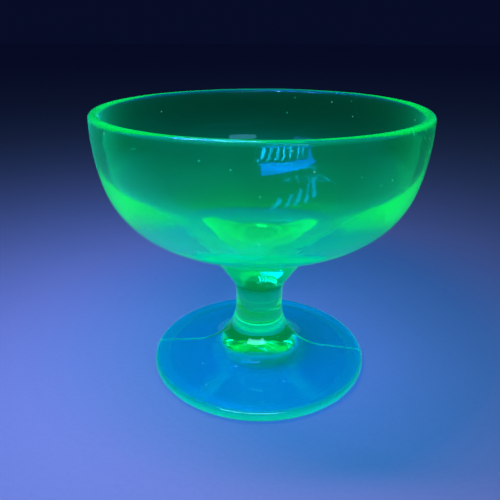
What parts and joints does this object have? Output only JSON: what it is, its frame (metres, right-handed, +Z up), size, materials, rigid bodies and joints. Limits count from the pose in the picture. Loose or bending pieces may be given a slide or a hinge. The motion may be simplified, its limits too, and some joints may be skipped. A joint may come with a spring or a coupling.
{
  "type": "footed glass dish",
  "caption": "Small footed dessert dish in green uranium glass: a deep round bowl with a rounded lip on a short waisted stem and a domed round foot.",
  "frame": {"origin": "on the dish's axis, on the surface that the foot's flat ring rests on", "axes": "+Z up along the dish's axis, through the stem and the middle of the bowl; the dish is round, so +X and +Y are any two directions square to it"},
  "size_m": [0.0954, 0.0954, 0.0835],
  "materials": {
    "bowl_glass": "clear fire-polished uranium glass, glowing green under ultraviolet light",
    "stem_glass": "clear solid uranium glass, the brightest green because it is the thickest",
    "foot_glass": "clear uranium glass, thin and see-through with a bright green edge"
  },
  "bodies": {
    "root": {"bowl": "bowl_glass", "stem": "stem_glass", "foot": "foot_glass"}
  },
  "joints": []
}
